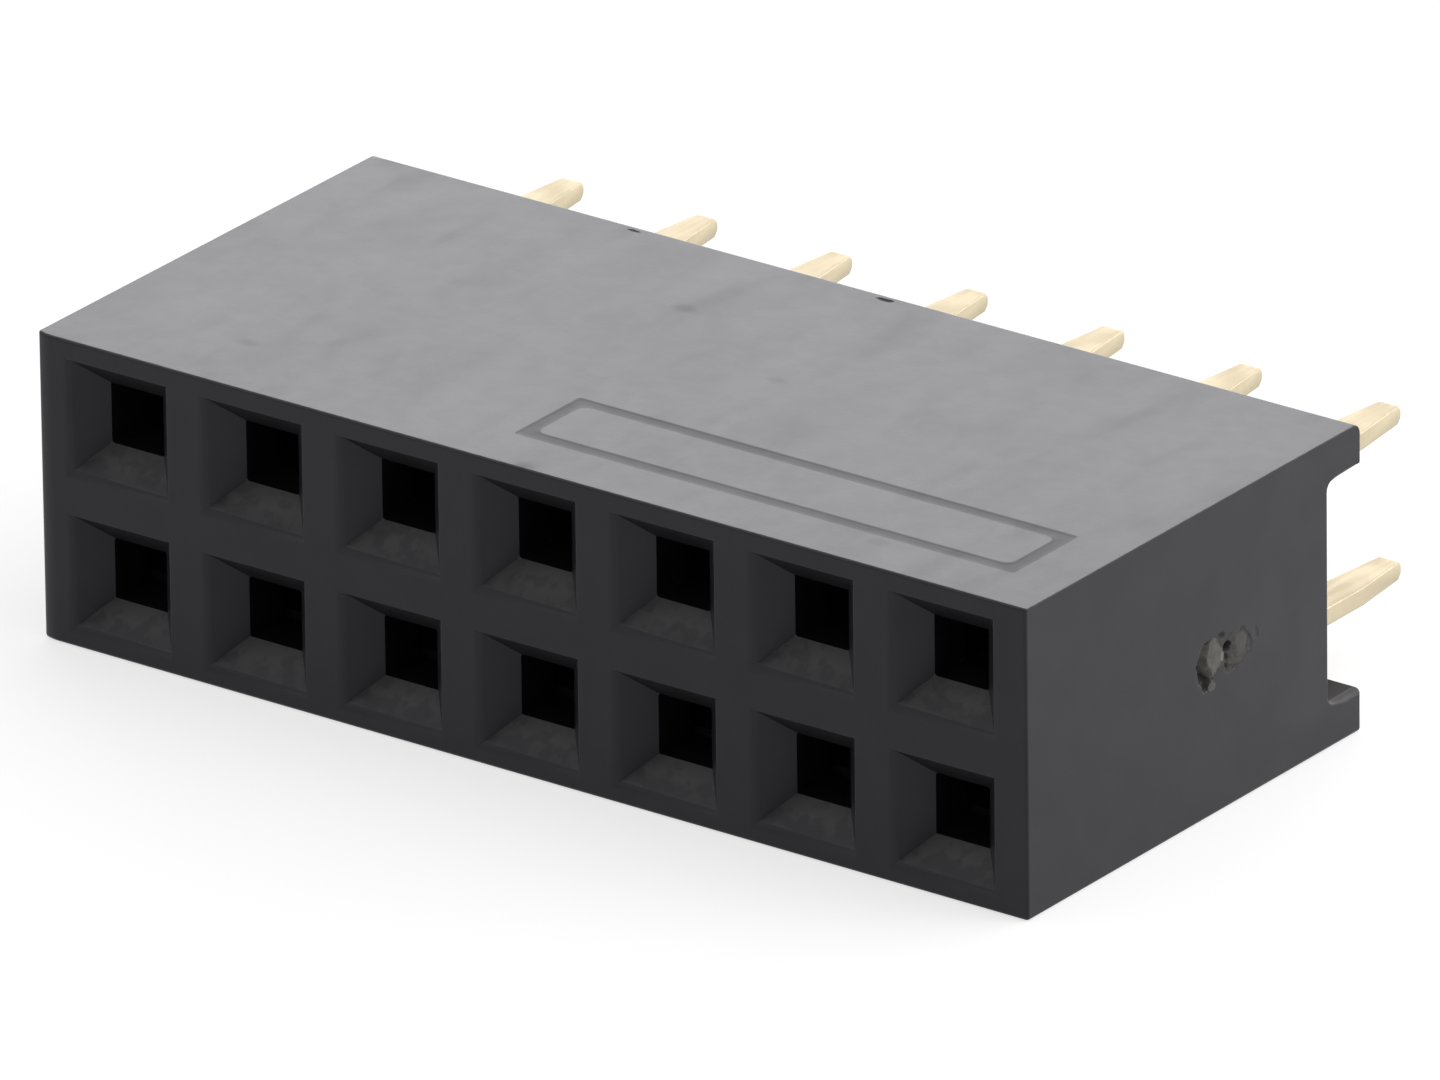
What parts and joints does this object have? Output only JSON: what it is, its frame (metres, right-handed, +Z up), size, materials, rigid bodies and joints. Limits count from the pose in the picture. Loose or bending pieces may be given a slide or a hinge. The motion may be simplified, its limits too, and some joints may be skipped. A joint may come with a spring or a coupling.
{
  "type": "female pin header",
  "caption": "Straight female pin header for a circuit board: black moulded housing with square funnel sockets, folded spring contacts inside and flat gold-coloured solder tails.",
  "frame": {"origin": "under the middle of the whole box, on the surface that the part lies on", "axes": "+X along the rows, +Y from the mating face to the solder tails, +Z up across the rows"},
  "size_m": [0.0182, 0.0116, 0.005],
  "materials": {
    "housing_plastic": "satin, as moulded, glass-filled thermoplastic",
    "contact_metal": "pale gold flash over a stamped copper alloy strip"
  },
  "bodies": {
    "root": {"housing": "housing_plastic", "contact_a1": "contact_metal", "contact_a2": "contact_metal", "contact_a3": "contact_metal", "contact_a4": "contact_metal", "contact_a5": "contact_metal", "contact_a6": "contact_metal", "contact_a7": "contact_metal", "contact_b1": "contact_metal", "contact_b2": "contact_metal", "contact_b3": "contact_metal", "contact_b4": "contact_metal", "contact_b5": "contact_metal", "contact_b6": "contact_metal", "contact_b7": "contact_metal"}
  },
  "joints": []
}
